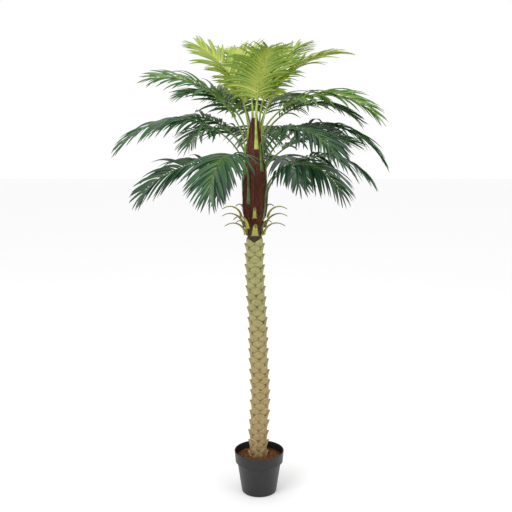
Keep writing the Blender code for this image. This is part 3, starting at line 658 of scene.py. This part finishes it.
def printed_leaf(name, foot, blade, tip, gloss):
    """Printed polyester: fine parallel veins, a paler foot and midrib, and a satin face."""
    leaf, shader = new_material(name, {"Roughness": gloss, "IOR": 1.57})
    sheet = add_node(leaf, "ShaderNodeUVMap", uv_map="UVMap")
    sheet_parts = add_node(leaf, "ShaderNodeSeparateXYZ", {"Vector": sheet.outputs["UV"]})
    print_along = add_node(leaf, "ShaderNodeValToRGB", {"Fac": sheet_parts.outputs["Y"]})
    colour_stops(print_along, (0.0, foot), (0.35, blade), (0.8, blade), (1.0, tip))
    midrib = add_node(leaf, "ShaderNodeValToRGB", {"Fac": sheet_parts.outputs["X"]})
    colour_stops(midrib, (0.0, "#d8d8d8"), (0.42, "#ffffff"), (0.58, "#ffffff"), (1.0, "#d8d8d8"))
    shaded = add_node(leaf, "ShaderNodeMix", {0: 1.0, MIX_A: print_along.outputs["Color"],
                                              MIX_B: midrib.outputs["Color"]},
                      data_type="RGBA", blend_type="MULTIPLY")
    veins = add_node(leaf, "ShaderNodeMapping", {"Vector": sheet.outputs["UV"], "Scale": (16.0, 1.5, 1.0)})
    vein_noise = add_node(leaf, "ShaderNodeTexNoise", {"Vector": veins.outputs["Vector"], "Scale": 1.0,
                                                       "Detail": 3.0})
    vein_shade = add_node(leaf, "ShaderNodeMapRange", {"Value": vein_noise.outputs["Fac"], "To Min": 0.72,
                                                       "To Max": 1.22})
    veined = add_node(leaf, "ShaderNodeMix", {0: 0.8, MIX_A: shaded.outputs[MIXED],
                                              MIX_B: vein_shade.outputs["Result"]},
                      data_type="RGBA", blend_type="MULTIPLY")
    feed(leaf, shader, "Base Color", veined.outputs[MIXED])
    bump = add_node(leaf, "ShaderNodeBump", {"Height": vein_noise.outputs["Fac"], "Strength": 0.35,
                                             "Distance": 0.0006})
    feed(leaf, shader, "Normal", bump.outputs["Normal"])
    return leaf


# Each tier's shades, dealt out frond by frond, with some leaflets of the tier's other shades among them: a
# foot, a blade and a tip colour, and how rough the face is.
SHADES = {
    "lower": (("#4c6a3a", "#1f4a2a", "#1c3a28", 0.34), ("#557a3c", "#2a5a30", "#20452c", 0.36),
              ("#3c5a34", "#183c24", "#16301f", 0.32)),
    "middle": (("#5a7a3a", "#285a2c", "#1e4426", 0.36), ("#6a8a3e", "#35682f", "#28502a", 0.38),
               ("#48683a", "#1e4828", "#1a3a22", 0.34)),
    "upper": (("#7f9a3c", "#4a7a2e", "#2c5426", 0.40), ("#93a83e", "#5f8a30", "#35602a", 0.42),
              ("#6a8a38", "#386a2c", "#264c24", 0.38)),
    "top": (("#c3cc58", "#9db43c", "#6d8f2e", 0.44), ("#cfd465", "#b3c248", "#7f9c34", 0.46),
            ("#b2c04c", "#86a534", "#55802a", 0.42)),
}
RIB_COLOURS = {"lower": ("#3a4f22", "#5c7434"), "middle": ("#46602a", "#6a843a"),
               "upper": ("#5d7a30", "#86a044"), "top": ("#8aa03c", "#b9c660")}

# A rib is round below and flattened on top.
rib_turns = np.radians(np.arange(RIB_SIDES) * 360.0 / RIB_SIDES)
rib_across = np.cos(rib_turns)
rib_up = np.where(np.sin(rib_turns) > 0.7, 0.55, np.sin(rib_turns))
for tier, shades in SHADES.items():
    fronds = [frond for frond in FRONDS if frond.tier == tier]
    leaves = [printed_leaf(f"printed_polyester_{tier}_{i}", *shade) for i, shade in enumerate(shades)]
    blade_rings, blade_shades, ribs = [], [], []
    for number, frond in enumerate(fronds):
        t = np.repeat((np.arange(LEAFLET_PAIRS) + 0.4) / LEAFLET_PAIRS, 2)
        hand = np.tile([1.0, -1.0], LEAFLET_PAIRS)
        t = t + hand * 0.2 / LEAFLET_PAIRS + rng.normal(0.0, 0.08, len(t)) / LEAFLET_PAIRS
        t, hand = np.append(t, 1.0), np.append(hand, 1.0)
        last = np.arange(len(t)) == len(t) - 1
        point, way, side, up = rib_frame(frond, BARE_SHARE + (1.0 - BARE_SHARE) * np.clip(t, 0.0, 1.0))
        spread = np.radians(between(LEAFLET_SPREAD, t) + rng.normal(0.0, 3.5, len(t)))
        spread[last] = 0.0
        lift = np.radians(LEAFLET_LIFT + rng.normal(0.0, 5.0, len(t)))
        out = side * (hand * np.cos(lift))[:, None] + up * np.sin(lift)[:, None]
        along = way * np.cos(spread)[:, None] + out * np.sin(spread)[:, None]
        across = way * np.sin(spread)[:, None] - out * np.cos(spread)[:, None]
        sag = frond.sag * between((1.0, SAG_LEFT_AT_TIP), t) + rng.normal(0.0, 0.05, len(t))
        length = leaflet_length(frond, t) * rng.uniform(0.93, 1.0, len(t))
        wide = LEAFLET_WIDTH / 2.0 * np.sqrt(length / TIERS[tier].leaflet)
        root = point + side * (hand * between(RIB_WIDTH, t) * 0.3)[:, None]
        twist = np.radians(rng.normal(12.0, 18.0, len(t))) * hand
        blade_rings.append(leaflet_rings(root, along, across, up, sag, length, wide, twist))
        own_shade = number % len(shades)
        other = rng.integers(0, len(shades), len(t))
        blade_shades.append(np.where(rng.random(len(t)) < OWN_SHADE_SHARE, own_shade, other))

        shares = np.linspace(0.0, 1.0, RIB_STATIONS)
        point, way, side, up = rib_frame(frond, shares)
        wide = between(RIB_WIDTH, shares) / 2.0
        deep = between(RIB_DEPTH, shares) / 2.0
        drop = np.linspace(1.0, 0.0, 9)[:-1]
        sheath_height = frond.height - SHEATH_DROP * drop
        lift_off = between((SHEATH_LIFT, RIB_DEPTH[0] / 2.0 + RIB_GAP), (1.0 - drop) ** 1.5)
        sheath_reach = (stem_radius(sheath_height) + lift_off)[:, None]
        sheath_point = axis_point(sheath_height) + outward(frond.azimuth) * sheath_reach
        sheath_side = np.tile(outward(frond.azimuth + 90.0), (len(drop), 1))
        sheath_up = np.tile(-outward(frond.azimuth), (len(drop), 1))
        point = np.vstack([sheath_point, point])
        side = np.vstack([sheath_side, side])
        up = np.vstack([sheath_up, up])
        wide = np.append(RIB_WIDTH[0] / 2.0 * (1.0 + 1.3 * drop ** 1.5), wide)
        deep = np.append(RIB_DEPTH[0] / 2.0 * (1.0 - 0.7 * drop), deep)
        ribs.append(point[:, None] + side[:, None] * (rib_across * wide[:, None])[..., None]
                    + up[:, None] * (rib_up * deep[:, None])[..., None])
    rings = np.concatenate(blade_rings)
    shade_of_leaf = np.concatenate(blade_shades)
    leaf_uv = grid_uv(len(rings), np.array([0.0, 0.5, 1.0, 0.5]), np.linspace(0.0, 1.0, LEAFLET_STATIONS))
    blades = add_piece(f"{tier}_leaflets", *skin(rings), leaves, f"{tier}_leaf", uv=leaf_uv,
                       material_index=np.repeat(shade_of_leaf, 4 * (LEAFLET_STATIONS - 1)), crease=28.0)

    # Plastic-covered wire: a satin extruded skin with lighter and darker patches.
    rib_plastic, shader = new_material(f"extruded_rib_{tier}", {"Roughness": 0.42, "IOR": 1.5})
    place = add_node(rib_plastic, "ShaderNodeTexCoord")
    streaks = add_node(rib_plastic, "ShaderNodeTexNoise", {"Vector": place.outputs["Object"],
                                                           "Scale": 1.0 / 0.02, "Detail": 4.0})
    shade = add_node(rib_plastic, "ShaderNodeValToRGB", {"Fac": streaks.outputs["Fac"]})
    colour_stops(shade, (0.35, RIB_COLOURS[tier][0]), (0.65, RIB_COLOURS[tier][1]))
    feed(rib_plastic, shader, "Base Color", shade.outputs["Color"])
    add_piece(f"{tier}_ribs", *skin(np.array(ribs)), [rib_plastic], f"{tier}_leaf", crease=50.0)
    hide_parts(*[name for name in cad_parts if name.startswith(f"{tier}_frond")])


# Studio. A matt white painted floor that runs out of sight, a white room all round, and two large soft lamps,
# one above the viewer's left shoulder and a weaker one on the right.
FLOOR_REACH = 30.0
FLOOR_POINTS = 25  # along each side
floor_paint, shader = new_material("matt_white_paint", {"Base Color": hex_colour("#fafafa"),
                                                        "Roughness": 0.9})
edge = np.linspace(-FLOOR_REACH, FLOOR_REACH, FLOOR_POINTS)
floor_points = np.array([(x, y, 0.0) for y in edge for x in edge])
index = np.arange(FLOOR_POINTS ** 2).reshape(FLOOR_POINTS, FLOOR_POINTS)
floor_faces = np.stack([index[:-1, :-1], index[:-1, 1:], index[1:, 1:], index[1:, :-1]], axis=-1)
floor_faces = floor_faces.reshape(-1, 4)
floor_mesh = bpy.data.meshes.new("studio_floor")
floor_mesh.from_pydata(floor_points.tolist(), [], floor_faces.tolist())
floor_mesh.materials.append(floor_paint)
floor = bpy.data.objects.new("studio_floor", floor_mesh)
bpy.context.scene.collection.objects.link(floor)

world = bpy.data.worlds.new("white_room")
world.use_nodes = True
world.node_tree.nodes["Background"].inputs["Color"].default_value = (1.0, 1.0, 1.0, 1.0)
world.node_tree.nodes["Background"].inputs["Strength"].default_value = 1.0
bpy.context.scene.world = world
bpy.context.scene.view_settings.view_transform = "Standard"

Lamp = namedtuple("Lamp", "name spot watts")
LAMPS = (Lamp("key_lamp", (-1.8, -2.4, 3.4), 60.0), Lamp("fill_lamp", (2.4, -2.0, 2.4), 20.0))
LAMP_SIZE = 2.0
LIT_POINT = np.array([0.0, 0.0, 1.2])
for name, spot, watts in LAMPS:
    lamp = bpy.data.lights.new(name, "AREA")
    lamp.size = LAMP_SIZE
    lamp.energy = watts
    holder = bpy.data.objects.new(name, lamp)
    holder.location = spot
    aim = LIT_POINT - np.array(spot)
    holder.rotation_euler = (np.arctan2(np.hypot(aim[0], aim[1]), -aim[2]), 0.0, np.arctan2(-aim[0], aim[1]))
    bpy.context.scene.collection.objects.link(holder)

CAMERA_PLACE = (-0.0128, -2.8, 1.378)
CAMERA_DIP = 8.44  # degrees below level
CAMERA_LENS = 51.24  # mm, on a sensor 36 mm wide
camera_data = bpy.data.cameras.new("camera")
camera_data.lens = CAMERA_LENS
camera = bpy.data.objects.new("camera", camera_data)
camera.location = CAMERA_PLACE
camera.rotation_euler = (np.radians(90.0 - CAMERA_DIP), 0.0, 0.0)
bpy.context.scene.collection.objects.link(camera)
bpy.context.scene.camera = camera
